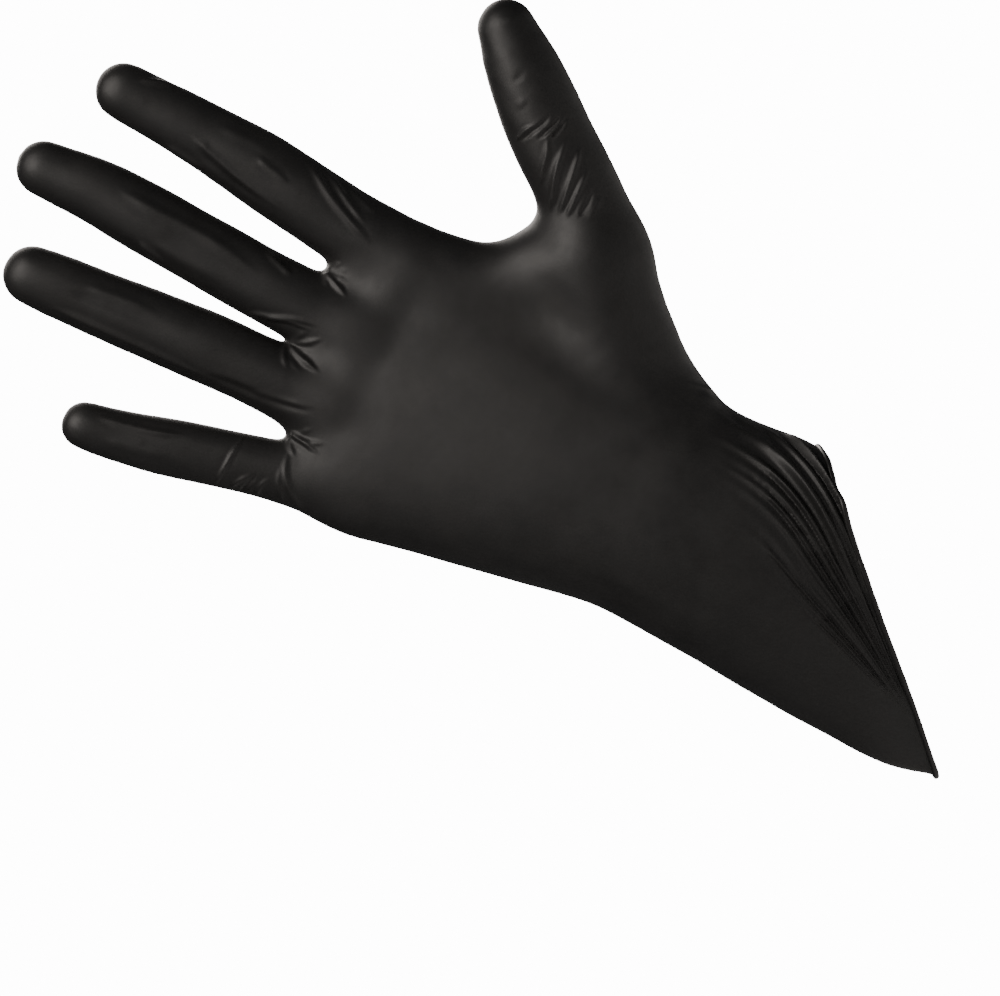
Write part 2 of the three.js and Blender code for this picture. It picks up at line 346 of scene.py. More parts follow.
def sampled_field(pitch):
    """The field on a fine grid. Away from the surface the coarse grid's values stand in."""
    counts, axes = grid_points(COARSE)
    mesh = np.stack(np.meshgrid(*axes, indexing="ij"), -1).reshape(-1, 3)
    coarse = glove(mesh).reshape(counts)
    counts, axes = grid_points(pitch)
    nearest = [np.clip(np.rint((a - LOW_CORNER[i]) / COARSE).astype(int), 0, coarse.shape[i] - 1)
               for i, a in enumerate(axes)]
    fine = coarse[np.ix_(*nearest)]
    close = np.argwhere(np.abs(fine) < BAND)
    values = glove(LOW_CORNER + pitch * close)
    fine[tuple(close.T)] = values
    return fine


def surface_net(field, pitch):
    """Vertices and quads of the field's zero surface, one vertex per cell that the surface crosses."""
    inside = field < 0
    shape = np.array(field.shape) - 1
    block = tuple(slice(0, n) for n in shape)
    count = np.zeros(shape, np.int8)
    for c in CORNERS:
        count += inside[tuple(slice(c[i], c[i] + shape[i]) for i in range(3))]
    crossed = (count > 0) & (count < 8)
    cells = np.argwhere(crossed)
    number = np.full(shape, -1)
    number[crossed] = np.arange(len(cells))
    total = np.zeros((len(cells), 3))
    hits = np.zeros(len(cells))
    for a in CORNERS:
        for axis in range(3):
            if a[axis]:
                continue
            b = tuple(1 if i == axis else a[i] for i in range(3))
            fa = field[tuple((cells + a).T)]
            fb = field[tuple((cells + b).T)]
            cut = (fa < 0) != (fb < 0)
            share = fa[cut] / (fa[cut] - fb[cut])
            total[cut] += np.array(a) + share[:, None] * (np.array(b) - np.array(a))
            hits[cut] += 1
    vertices = LOW_CORNER + pitch * (cells + total / hits[:, None])
    quads = []
    for axis in range(3):
        one, two = (axis + 1) % 3, (axis + 2) % 3
        ahead = np.zeros(3, int)
        ahead[axis] = 1
        next_block = tuple(slice(ahead[i], ahead[i] + shape[i]) for i in range(3))
        starts = np.argwhere(inside[block] != inside[next_block])
        starts = starts[(starts[:, one] > 0) & (starts[:, two] > 0)]
        steps = np.zeros((4, 3), int)
        steps[1, one] = steps[2, one] = steps[2, two] = steps[3, two] = -1
        quad = np.column_stack([number[tuple((starts + s).T)] for s in steps])
        outward = inside[tuple(starts.T)]
        quad[~outward] = quad[~outward][:, ::-1]
        quads.append(quad)
    return vertices, np.vstack(quads)


def onto_surface(vertices, rounds=2):
    """Moves each vertex straight to the field's zero surface."""
    for _ in range(rounds):
        values = glove(vertices)
        slopes = gradient(glove, vertices, values, FILM_PROBE)
        vertices = vertices - slopes * (values / np.maximum((slopes**2).sum(1), LEAST_FILM_SLOPE))[:, None]
    return vertices


def relaxed(vertices, faces, rounds):
    """Evens the film out by moving each vertex half way to its neighbours' middle. The rim stays put."""
    corners = np.roll(faces, -1, axis=1)
    edges = np.column_stack([faces.ravel(), corners.ravel()])
    pairs, uses = np.unique(np.sort(edges, axis=1), axis=0, return_counts=True)
    free = np.ones(len(vertices), bool)
    free[pairs[uses == 1].ravel()] = False
    near = np.bincount(pairs.ravel(), minlength=len(vertices))
    for _ in range(rounds):
        middle = np.empty_like(vertices)
        for axis in range(3):
            total = np.bincount(pairs[:, 0], vertices[pairs[:, 1], axis], len(vertices))
            total += np.bincount(pairs[:, 1], vertices[pairs[:, 0], axis], len(vertices))
            middle[:, axis] = total / np.maximum(near, 1)
        vertices = np.where(free[:, None], 0.5 * (vertices + middle), vertices)
    return vertices


# ---- Seams --------------------------------------------------------------------------------------
# The film is cut where it is firm at every pose: near the foot of each digit, between its joints, and below
# and above the wrist's bend.

FOOT_SEAM = {"index": -7, "middle": -7, "ring": -6.5, "little": -8, "thumb": -5}  # mm beyond the root joint
FINGER_SEAM_SHARE = 0.5  # of the way from one joint to the next
THUMB_SEAM_SHARE = 0.38
CUFF_SEAM = 38.0
PALM_SEAM = 76.0
BEAD_RADIUS = 0.75
SNAP = 0.02  # a cut this close to a vertex goes through it
SEAM_BAND = 3.0  # only faces this close to a seam are looked at for its cut
DIGIT_BAND = 4.0  # film further than this from a digit isn't that digit's


def unit(vector):
    """The vector's direction, one long."""
    return vector / np.linalg.norm(vector)


def digit_seams(name):
    """The cuts across a digit as (point, direction), from the palm to the tip."""
    hinges = [JOINT[f"{name}_{k}_bend"] for k in ("root", "mid", "tip") if f"{name}_{k}_bend" in JOINT]
    first = unit(hinges[1] - hinges[0])
    seams = [(hinges[0] + first * FOOT_SEAM[name], first)]
    for a, b in zip(hinges, hinges[1:]):
        share = THUMB_SEAM_SHARE if name == "thumb" else FINGER_SEAM_SHARE
        seams.append((a + (b - a) * share, unit(b - a)))
    return seams


SEAMS = {name: digit_seams(name) for name in DIGITS}


def nearest_digit(points):
    """Number of the digit whose film is nearest, and how far off it is."""
    apart = np.column_stack([chain(points, RUNS[name], FINGER_FLATNESS) for name in DIGITS])
    return apart.argmin(1), apart.min(1)


def split(work, faces, point, direction):
    """Cuts some faces along a plane and keeps both sides."""
    edges = {e for f in faces for e in f.edges}
    verts = {v for f in faces for v in f.verts}
    bmesh.ops.bisect_plane(work, geom=[*verts, *edges, *faces], dist=SNAP, plane_co=point, plane_no=direction)


def cut_surface(vertices, quads):
    """Trims the sleeve at its rim and cuts the surface along every seam."""
    mesh = bpy.data.meshes.new("film")
    mesh.from_pydata(vertices.tolist(), [], quads.tolist())
    work = bmesh.new()
    work.from_mesh(mesh)
    bpy.data.meshes.remove(mesh)
    rim_normal = Vector((RIM_SLOPE, 0, -1)).normalized()
    everything = [*work.verts, *work.edges, *work.faces]
    rim_point = (FAN_X, 0, RIM_LEVEL + BEAD_RADIUS)
    bmesh.ops.bisect_plane(
        work, geom=everything, dist=SNAP, plane_co=rim_point, plane_no=rim_normal, clear_outer=True
    )
    for height in (CUFF_SEAM, PALM_SEAM):
        near = [f for f in work.faces if abs(f.calc_center_median().z - height) < SEAM_BAND]
        split(work, near, (0, 0, height), (0, 0, 1))
    for name, seams in SEAMS.items():
        order = list(DIGITS).index(name)
        for point, direction in seams:
            near = [
                f for f in work.faces
                if abs((f.calc_center_median() - Vector(point)).dot(direction)) < SEAM_BAND
            ]
            centres = np.array([f.calc_center_median() for f in near])
            digit, apart = nearest_digit(centres)
            chosen = [f for f, d, a in zip(near, digit, apart) if d == order and a < DIGIT_BAND]
            split(work, chosen, point, direction)
    return work


# ---- Folds --------------------------------------------------------------------------------------
# A fold is (path of (x, z) points, half width, height). A ridge's height is above 0 and a groove's below.
# A fold rises quickly at its start and fades slowly to its end.

CORNER = (-22.5, -28)  # the drawn corner's (x, z)
RIM_ANGLE = math.degrees(math.atan(RIM_SLOPE))
CROTCHES = ((6.3, 156.5), (-14.6, 156.5), (-34.4, 144.5))  # from the index finger to the little one
FOLD_REACH = 4  # half widths beyond which a fold no longer shows


def pull_folds(points, spacing, end, steepness):
    """Folds that fan out of the drawn corner, one every few degrees, from the rim up to the end angle."""
    dx, dz = points[:, 0] - CORNER[0], points[:, 2] - CORNER[1]
    reach = np.hypot(dx, dz)
    angle = np.degrees(np.arctan2(dz, dx)) - RIM_ANGLE
    # the folds bow towards the sleeve's long edge as they meet, and bend round to the wrist's thumb side
    angle = angle - 5 * np.exp(-reach / 6)
    angle = angle - 11 * np.clip((reach - 52) / 44, 0, 1.2) ** 2
    # their spacing wanders
    wander = 0.16 * waves(points * (1, 0.4, 1), size=26, seed=17) + 0.22 * np.sin(angle * 0.55)
    phase = angle / spacing + wander
    # narrow ridges over wide hollows, each with a strength of its own
    ridge = (0.5 + 0.5 * np.cos(2 * math.pi * phase)) ** 1.7 - 0.38
    strength = 0.72 + 0.4 * np.cos(2.4 * np.floor(phase + 0.5)) + 0.2 * waves(points, size=14, seed=23)
    # they rise out of the corner and die away towards the wrist, the steeper ones sooner
    top = 106 - 1.7 * np.clip(angle, 0, end)
    along = smooth_step(1, 9, reach) * (1 - smooth_step(top - 34, top, reach))
    across = smooth_step(-6, 0, angle) * (1 - smooth_step(end - 7, end, angle))
    return steepness * np.radians(spacing) * reach * ridge * strength * along * across


def cuff_folds():
    """The longest folds of the drawn sleeve, up to the wrist's thumb side."""
    return [
        ([(-10.8, -10.7), (-1.2, 2.4), (7.5, 13), (14.5, 23), (19.5, 34), (22.5, 46)], 1.5, 0.8),
        ([(1, 4), (10.4, 15), (17.4, 26), (21.6, 38), (23.6, 52)], 1.3, 0.7),
        ([(-17, -10), (-10.4, 3), (-6, 14), (-2.4, 28), (-1, 40)], 1.3, 0.5),
    ]


def back_cuff_folds():
    """Two slack folds down the back of the sleeve."""
    return [
        ([(-17, -12), (-14, 4), (-11, 24), (-9, 44)], 1.6, 0.4),
        ([(-26, -24), (-25, -6), (-24, 14), (-24, 32)], 1.5, 0.35),
    ]


def crotch_fan(crotch, spread, lengths, height, width=0.8):
    """Short folds that run down out of a crotch, spread over an angle in degrees."""
    folds = []
    for i, length in enumerate(lengths):
        share = i / (len(lengths) - 1) - 0.5
        angle = math.radians(spread * share)
        heading = np.array([math.sin(angle), -math.cos(angle)])
        start = np.array(crotch) + heading * 0.5
        bow = np.array([heading[1], -heading[0]]) * 0.06 * length
        path = [tuple(start), tuple(start + heading * length / 2 + bow), tuple(start + heading * length)]
        folds.append((path, width, height * (0.7 + 0.3 * math.cos(3 * i))))
    return folds


def palm_folds():
    """Folds on the palm's side, at the feet of the fingers and by the wrist."""
    return [
        *crotch_fan(CROTCHES[0], spread=100, lengths=(4, 5, 6, 5.5, 4), height=0.35),
        *crotch_fan(CROTCHES[1], spread=110, lengths=(6, 8, 11, 7, 9, 6), height=0.5),
        *crotch_fan(CROTCHES[2], spread=90, lengths=(5, 6, 9, 6), height=0.45),
        # the feet of the three outer fingers
        ([(5.6, 156), (4.4, 152.4), (3, 148.4)], 0.8, 0.7),
        ([(-14.6, 155.4), (-15.6, 151), (-17.2, 145.4)], 0.9, 0.7),
        ([(-12.4, 168), (-10.8, 163), (-8.4, 157), (-7, 151)], 0.7, 0.6),
        ([(-11.8, 164), (-9.6, 158), (-8.8, 152)], 0.6, 0.45),
        ([(-33.4, 144.6), (-34, 140.6), (-34.8, 135.6)], 0.8, 0.85),
        ([(-30.8, 169), (-29.6, 159), (-28.4, 151), (-26.8, 142)], 1.1, -0.6),
        ([(-29.2, 158), (-27.6, 150), (-25.2, 142)], 0.9, 0.4),
        ([(1, 163), (2, 167), (3.4, 172)], 0.9, 0.55),
        # the foot of the index finger, folds that climb to its thumb side
        ([(17.4, 150), (19.6, 156), (22.6, 163.4), (25.4, 168.6), (28.2, 174)], 1.0, 0.8),
        ([(21, 153), (23.6, 159), (26.2, 164), (28.6, 170)], 0.8, 0.6),
        ([(24.4, 152), (26, 157), (27.8, 162)], 0.8, 0.4),
        # the foot of the little finger
        ([(-54, 154.8), (-49, 154.5), (-44, 154.4), (-40, 154)], 0.6, 0.45),
        ([(-52.6, 151), (-50, 149.6), (-47.6, 147.8)], 0.6, 0.45),
        ([(-52.4, 148.4), (-50, 147.4), (-46.6, 146.6)], 0.6, -0.45),
        ([(-51.6, 144.6), (-48.6, 144.4), (-46, 143)], 0.7, 0.35),
        ([(-49.8, 131), (-47.4, 136), (-43.4, 140.4), (-37.6, 142.8)], 0.9, 0.5),
        ([(-49.4, 138), (-46.4, 140.6), (-42, 142.6)], 0.7, 0.3),
        # the wrist's thumb side
        ([(25.6, 60), (22, 53), (16, 45)], 2.4, 0.35),
        ([(24.6, 50), (22.6, 43), (19, 36)], 1.2, 0.4),
    ]


def finger_folds():
    """Long shallow folds where a stall is wider than the finger in it."""
    return [
        ([(19.4, 201), (17.6, 194), (15.6, 185), (14, 174)], 0.9, 0.64),
        ([(16.4, 198), (14.6, 189), (13.2, 178)], 1.3, -0.48),
        ([(14.4, 206), (13.8, 200), (13.4, 194)], 0.8, 0.8),
        ([(25.4, 219), (27, 215.6), (28.6, 211)], 0.8, 0.64),
        ([(22.4, 184), (21.4, 179), (20.4, 174)], 0.9, 0.48),
        ([(24.6, 196), (25.4, 188), (25, 180)], 1.3, 0.32),
        ([(-1, 210), (-1.2, 200), (-0.9, 188), (-1.4, 180), (-2.6, 171)], 1.4, 0.72),
        ([(-10.2, 200), (-11.2, 196), (-12.2, 191)], 0.8, 0.72),
        ([(-8.4, 196), (-8.8, 186), (-8, 176)], 1.6, 0.32),
        ([(-34.8, 211), (-34, 202), (-33.2, 192), (-32.2, 178), (-31.4, 168)], 0.9, 0.72),
        ([(-29.4, 209), (-28, 202), (-26.8, 192), (-25.8, 180)], 1.5, -0.48),
        ([(-25.8, 206), (-24.6, 198), (-23.2, 188)], 1.2, 0.4),
        ([(-53.2, 188), (-51.6, 181), (-49.4, 173), (-46.4, 166)], 0.9, 0.64),
        ([(-57.6, 184), (-55.4, 175), (-52.4, 166)], 1.3, 0.32),
    ]


def thumb_folds():
    """Creases over the thumb's joint, from its web and on its pad."""
    return [
        # across the knuckle
        ([(57.6, 128.2), (60.4, 127.2), (63.4, 125.8), (66.4, 125.4)], 0.6, -0.6),
        ([(57, 129.6), (59.6, 129), (62, 127.6)], 0.6, 0.48),
        ([(59.6, 125), (62.4, 124), (65, 123), (67.6, 123)], 0.6, -0.66),
        ([(61.6, 122.4), (64, 121.6), (67.8, 121.4)], 0.6, -0.72),
        ([(60.6, 123.6), (63.4, 122.8), (66.6, 122.2)], 0.5, 0.48),
        # from the web up to the knuckle
        ([(50, 119), (53.4, 120.4), (57.4, 121.4), (61.4, 123.4)], 0.8, 0.54),
        ([(46, 113.7), (50.6, 115.8), (56, 117.6), (63, 118.8)], 0.9, 0.84),
        ([(46, 111.6), (51, 112.4), (58.4, 113.8), (63, 115)], 0.8, 0.72),
        ([(46, 109.6), (52, 110), (59, 110.6)], 0.7, 0.66),
        ([(47.6, 106.8), (51, 106.6), (56, 107)], 0.7, -0.6),
        ([(48, 104.6), (52, 104.4), (55, 104.6)], 0.8, 0.3),
        # on the pad
        ([(69, 137.2), (71, 136.4), (73.4, 136.4)], 0.8, -0.24),
        ([(64, 133.4), (65.4, 133), (66.8, 132.4)], 0.9, 0.24),
        ([(81, 146), (83, 145), (85, 145.4)], 0.8, 0.24),
    ]


# Creases over one knuckle: the distance between them, and how far each reaches and bows.
KNUCKLE_SPACING = 2.1
KNUCKLE_REACH = (5.2, 4.4, 5.6)
KNUCKLE_BOW = (0.7, -0.4, 0.3)


def knuckle_folds():
    """Creases over the back of each finger's joints, and a fan from each crotch up the back of the hand."""
    folds = []
    for name in FINGERS:
        bone = unit(JOINT[f"{name}_tip_bend"] - JOINT[f"{name}_root_bend"])
        along = bone[[0, 2]]
        across = np.array([along[1], -along[0]])
        for kind, count in (("mid", 3), ("tip", 2)):
            knuckle = JOINT[f"{name}_{kind}_bend"][[0, 2]]
            for i in range(count):
                middle = knuckle + along * KNUCKLE_SPACING * (i - (count - 1) / 2)
                reach = KNUCKLE_REACH[i]
                bow = along * KNUCKLE_BOW[i]
                path = [tuple(middle - across * reach), tuple(middle + bow), tuple(middle + across * reach)]
                folds.append((path, 0.7, -0.28 if i % 2 else 0.3))
    folds += crotch_fan(CROTCHES[0], spread=90, lengths=(8, 12, 9), height=0.4, width=1.0)
    folds += crotch_fan(CROTCHES[1], spread=90, lengths=(9, 13, 10), height=0.45, width=1.0)
    folds += crotch_fan(CROTCHES[2], spread=80, lengths=(7, 12, 8), height=0.4, width=1.0)
    # the thumb's web and the back of the wrist
    folds += [
        ([(36, 112), (28, 104), (18, 92)], 1.6, 0.4),
        ([(40, 108), (34, 98), (26, 84)], 1.4, 0.35),
        ([(14, 62), (2, 60), (-12, 61), (-24, 64)], 1.8, 0.3),
        ([(18, 55), (4, 52), (-10, 53), (-26, 57)], 1.5, -0.25),
    ]
    return folds


def fold_height(points, fold):
    """How far each point stands proud because of one fold."""
    path, width, height = fold
    run = smooth_run(path, FOLD_STEPS)
    reach = FOLD_REACH * width
    flat = points[:, (0, 2)]
    near = np.all((flat > run.min(0) - reach) & (flat < run.max(0) + reach), axis=1)
    local = flat[near]
    best = np.full(len(local), 1e6)
    share = np.zeros(len(local))
    for i, (a, b) in enumerate(zip(run[:-1], run[1:])):
        step = b - a
        t = np.clip((local - a) @ step / (step @ step), 0, 1)
        apart = ((local - a - t[:, None] * step) ** 2).sum(1)
        closer = apart < best
        best[closer] = apart[closer]
        share[closer] = (i + t[closer]) / (len(run) - 1)
    # a fold narrows towards both ends
    taper = smooth_step(-0.05, 0.2, share) * (1 - smooth_step(0.65, 1.05, share))
    q = best / (width * (0.55 + 0.45 * taper)) ** 2
    out = np.zeros(len(points))
    out[near] = height * taper * (np.exp(-q) - 0.32 * np.exp(-q / 3.6))
    return out


RIM_BOW = 0.8
RIM_BOW_START = -20  # x
RIM_BOW_WIDTH = 44
RIM_BOW_FADE = 16  # levels above the rim


def bow_rim(vertices):
    """Draws the middle of the mouth in a little, because the rim hangs slack between its two ends."""
    x, _, z = vertices.T
    share = np.clip((x - RIM_BOW_START) / RIM_BOW_WIDTH, 0, 1)
    fade = 1 - smooth_step(RIM_LEVEL, RIM_LEVEL + RIM_BOW_FADE, level(x, z))
    inward = unit(np.array([-RIM_SLOPE, 0, 1]))
    return vertices + inward * (RIM_BOW * np.sin(math.pi * share) * fade)[:, None]


def crease(vertices, normals):
    """Displaces the film along its normals by every fold, and by a slight unevenness all over."""
    # a fold shows only where the film faces its side
    front = smooth_step(0.05, 0.5, -normals[:, 1])
    back = smooth_step(0.05, 0.5, normals[:, 1])
    height = 0.10 * waves(vertices * (1.6, 1, 0.7), size=9, seed=3) + 0.16 * waves(vertices, size=22, seed=5)
    height += pull_folds(vertices, spacing=2.6, end=29, steepness=0.6) * front
    height += pull_folds(vertices, spacing=4.4, end=36, steepness=0.36) * back
    # the film is smoothest over the palm, where it is stretched tight
    tight = smooth_step(70, 90, vertices[:, 2]) * (1 - smooth_step(125, 140, vertices[:, 2]))
    height *= 1 - 0.6 * tight
    for fold in [*cuff_folds(), *palm_folds(), *finger_folds(), *thumb_folds()]:
        height += fold_height(vertices, fold) * front
    for fold in [*back_cuff_folds(), *knuckle_folds()]:
        height += fold_height(vertices, fold) * back
    return vertices + normals * height[:, None]


# ---- The whole film as arrays -------------------------------------------------------------------


def vertex_normals(vertices, triangles):
    """Each vertex's direction outwards, from the triangles round it."""
    a, b, c = (vertices[triangles[:, i]] for i in range(3))
    face = np.cross(b - a, c - a)
    total = np.zeros_like(vertices)
    for i in range(3):
        np.add.at(total, triangles[:, i], face)
    return total / np.maximum(np.linalg.norm(total, axis=1), 1e-9)[:, None]


# Where folds are too narrow for the plain pitch, as ranges of level, x and z.
RIM_ZONE_TOP = 26
RIM_ZONE_X = (-24, 27)
FEET_ZONE_X = (-66, 32)
FEET_ZONE_Z = (134, 176)
THUMB_ZONE_X = (44, 72)
THUMB_ZONE_Z = (100, 132)
CORNER_ZONE = 36  # radius round the drawn corner, cut finer once more
FACING = Vector((1, 0, 1))  # leaves out the depth


def between(values, limits):
    """True for the values inside a (low, high) range."""
    return (values > limits[0]) & (values < limits[1])


def in_fine_zone(points):
    """True by the drawn rim, at the feet of the fingers and round the thumb's joint."""
    x, _, z = points.T
    near_rim = (level(x, z) < RIM_ZONE_TOP) & between(x, RIM_ZONE_X)
    feet = between(x, FEET_ZONE_X) & between(z, FEET_ZONE_Z)
    thumb = between(x, THUMB_ZONE_X) & between(z, THUMB_ZONE_Z)
    return near_rim | feet | thumb


def halve(work, faces):
    """Divides every edge of some faces in two."""
    edges = {e for f in faces for e in f.edges}
    bmesh.ops.subdivide_edges(work, edges=list(edges), cuts=1, use_grid_fill=True)


def film_arrays(work):
    """The (vertices, triangles) of a bmesh, which is freed."""
    mesh = bpy.data.meshes.new("film")
    work.to_mesh(mesh)
    work.free()
    vertices = np.empty(3 * len(mesh.vertices))
    mesh.vertices.foreach_get("co", vertices)
    triangles = np.empty(3 * len(mesh.polygons), int)
    mesh.polygons.foreach_get("vertices", triangles)
    bpy.data.meshes.remove(mesh)
    return vertices.reshape(-1, 3), triangles.reshape(-1, 3)


def film_surface():
    """(vertices, triangles) of the outside of the film, creased and cut along its seams."""
    pitch = PITCH
    vertices, quads = surface_net(sampled_field(pitch), pitch)
    vertices = relaxed(onto_surface(vertices), quads, round(RELAX_REACH / pitch**2))
    work = cut_surface(vertices, quads)
    centres = np.array([f.calc_center_median() for f in work.faces])
    halve(work, [f for f, fine in zip(work.faces, in_fine_zone(centres)) if fine])
    corner = Vector((CORNER[0], 0, CORNER[1]))
    reach = {f: (f.calc_center_median() * FACING - corner).length for f in work.faces}
    halve(work, [f for f in work.faces if reach[f] < CORNER_ZONE])
    bmesh.ops.triangulate(work, faces=work.faces)
    vertices, triangles = film_arrays(work)
    vertices = bow_rim(relaxed(vertices, triangles, FOLD_RELAX))
    return crease(vertices, vertex_normals(vertices, triangles)), triangles


def piece_names(points):
    """Name of the piece that each point belongs to."""
    names = np.full(len(points), "palm_film", dtype="U24")
    names[points[:, 2] < PALM_SEAM] = "wrist_film"
    names[points[:, 2] < CUFF_SEAM] = "cuff_film"
    digit, apart = nearest_digit(points)
    for order, (name, seams) in enumerate(SEAMS.items()):
        mine = (digit == order) & (apart < DIGIT_BAND)
        parts = ("root", "tip") if name == "thumb" else ("root", "mid", "tip")
        for part, (point, direction) in zip(parts, seams):
            beyond = mine & ((points - point) @ direction > 0)
            names[beyond] = f"{name}_{part}_film"
    return names


# ---- Pieces -------------------------------------------------------------------------------------


def boundary_edges(triangles):
    """Directed edges that only one triangle has."""
    edges = np.vstack([triangles[:, (0, 1)], triangles[:, (1, 2)], triangles[:, (2, 0)]])
    forward = {tuple(e) for e in edges.tolist()}
    return [(a, b) for a, b in forward if (b, a) not in forward]


def film_piece(name, vertices, normals, triangles, material):
    """A closed length of film: outside, inside and the walls between them along every cut."""
    used, faces = np.unique(triangles, return_inverse=True)
    faces = faces.reshape(-1, 3)
    outside, out_normals = vertices[used], normals[used]
    inside = outside - out_normals * FILM
    n = len(used)
    walls = [(b, a, a + n, b + n) for a, b in sorted(boundary_edges(faces))]
    every_face = [*faces.tolist(), *(faces[:, ::-1] + n).tolist(), *walls]
    mesh = bpy.data.meshes.new(name)
    mesh.from_pydata((np.vstack([outside, inside]) * MM).tolist(), [], every_face)
    mesh.materials.append(material)
    mesh.polygons.foreach_set("use_smooth", [True] * len(mesh.polygons))
    mesh.normals_split_custom_set_from_vertices(np.vstack([out_normals, -out_normals]).tolist())
    piece = bpy.data.objects.new(name, mesh)
    bpy.context.scene.collection.objects.link(piece)
    return piece


# ---- Materials ----------------------------------------------------------------------------------


def nitrile(name, shade, roughness):
    """Satin black nitrile: uneven tint and shine, shallow waves in the skin, and a fine grain."""
    material = bpy.data.materials.new(name)
    material.use_nodes = True
    nodes, links = material.node_tree.nodes, material.node_tree.links
    shader = nodes["Principled BSDF"]
    place = nodes.new("ShaderNodeTexCoord").outputs["Object"]

    def noise(scale, detail, rough=0.55):
        node = nodes.new("ShaderNodeTexNoise")
        node.inputs["Scale"].default_value = scale
        node.inputs["Detail"].default_value = detail
        node.inputs["Roughness"].default_value = rough
        links.new(place, node.inputs["Vector"])
        return node.outputs["Fac"]

    def ranged(value, low, high):
        node = nodes.new("ShaderNodeMapRange")
        node.inputs["From Min"].default_value = 0.3
        node.inputs["From Max"].default_value = 0.7
        node.inputs["To Min"].default_value = low
        node.inputs["To Max"].default_value = high
        links.new(value, node.inputs["Value"])
        return node.outputs["Result"]

    tint = nodes.new("ShaderNodeMix")
    tint.data_type = "RGBA"
    tint.inputs["A"].default_value = (shade * 0.86, shade * 0.85, shade * 0.86, 1)
    tint.inputs["B"].default_value = (shade * 1.16, shade * 1.12, shade * 1.1, 1)
    links.new(ranged(noise(scale=55, detail=4), 0, 1), tint.inputs["Factor"])
    links.new(tint.outputs["Result"], shader.inputs["Base Color"])
    worn = ranged(noise(scale=160, detail=5), roughness - 0.05, roughness + 0.06)
    links.new(worn, shader.inputs["Roughness"])
    shader.inputs["Specular IOR Level"].default_value = 0.42
    grain = nodes.new("ShaderNodeBump")
    grain.inputs["Strength"].default_value = 0.22
    grain.inputs["Distance"].default_value = 0.00006
    links.new(noise(scale=2600, detail=3, rough=0.6), grain.inputs["Height"])
    skin = nodes.new("ShaderNodeBump")
    skin.inputs["Strength"].default_value = 0.12
    skin.inputs["Distance"].default_value = 0.0003
    links.new(noise(scale=330, detail=4), skin.inputs["Height"])
    links.new(skin.outputs["Normal"], grain.inputs["Normal"])
    links.new(grain.outputs["Normal"], shader.inputs["Normal"])
    return material


# ---- Building the glove -------------------------------------------------------------------------


def ordered_rim(vertices, triangles):
    """The rim's vertices in order round the mouth of the cuff."""
    after = dict(boundary_edges(triangles))
    start = min(after)
    loop = [start]
    while after[loop[-1]] != start:
        loop.append(after[loop[-1]])
    return vertices[loop]


BEAD_SIDES = 12
BEAD_POINTS = 420
BEAD_EVENING = 3  # rounds that even out the tube's path
BEAD_UNEVENNESS = 0.09  # of its radius


def rolled_bead(rim, material):
    """The cuff's rolled edge: a tube that follows the rim, a little uneven in thickness."""
    steps = np.linalg.norm(np.roll(rim, -1, 0) - rim, axis=1)
    along = np.concatenate([[0], np.cumsum(steps)])
    closed = np.vstack([rim, rim[:1]])
    at = np.linspace(0, along[-1], BEAD_POINTS, endpoint=False)
    centre = np.column_stack([np.interp(at, along, closed[:, i]) for i in range(3)])
    for _ in range(BEAD_EVENING):
        centre = 0.5 * centre + 0.25 * (np.roll(centre, 1, 0) + np.roll(centre, -1, 0))
    ahead = np.roll(centre, -1, 0) - np.roll(centre, 1, 0)
    ahead /= np.linalg.norm(ahead, axis=1)[:, None]
    down = unit(np.array([RIM_SLOPE, 0, -1]))
    side = np.cross(ahead, down)
    side /= np.linalg.norm(side, axis=1)[:, None]
    out = np.cross(side, ahead)
    radius = BEAD_RADIUS * (1 + BEAD_UNEVENNESS * waves(centre, size=5, seed=11))
    verts = []
    for k in range(BEAD_SIDES):
        angle = 2 * math.pi * k / BEAD_SIDES
        ring = centre + radius[:, None] * (math.cos(angle) * side + math.sin(angle) * out)
        verts.append(ring)
    verts = np.stack(verts, 1).reshape(-1, 3)
    faces = []
    for i in range(BEAD_POINTS):
        j = (i + 1) % BEAD_POINTS
        for k in range(BEAD_SIDES):
            m = (k + 1) % BEAD_SIDES
            faces.append((i * BEAD_SIDES + k, j * BEAD_SIDES + k, j * BEAD_SIDES + m, i * BEAD_SIDES + m))
    mesh = bpy.data.meshes.new("cuff_roll")
    mesh.from_pydata((verts * MM).tolist(), [], faces)
    work = bmesh.new()
    work.from_mesh(mesh)
    bmesh.ops.recalc_face_normals(work, faces=work.faces)
    work.to_mesh(mesh)
    work.free()
    mesh.materials.append(material)
    mesh.polygons.foreach_set("use_smooth", [True] * len(mesh.polygons))
    piece = bpy.data.objects.new("cuff_roll", mesh)
    bpy.context.scene.collection.objects.link(piece)
    return piece


def bend_across(piece):
    """Bakes a piece's placement into its mesh. The piece isn't bent across the joint."""
    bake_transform(piece)


def attach_digit(name, pieces):
    """Bakes each length of a digit in place, and hides the solids that it stands for."""
    kinds = ("root", "tip") if name == "thumb" else ("root", "mid", "tip")
    for order, kind in enumerate(kinds):
        piece = pieces[f"{name}_{kind}_film"]
        bend_across(piece)
        firm = {"root": "proximal_stall", "mid": "middle_stall", "tip": "fingertip"}[kind]
        if name == "thumb" and kind == "root":
            firm = "base_stall"
        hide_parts(f"{name}_{kind}_fold", f"{name}_{firm}")


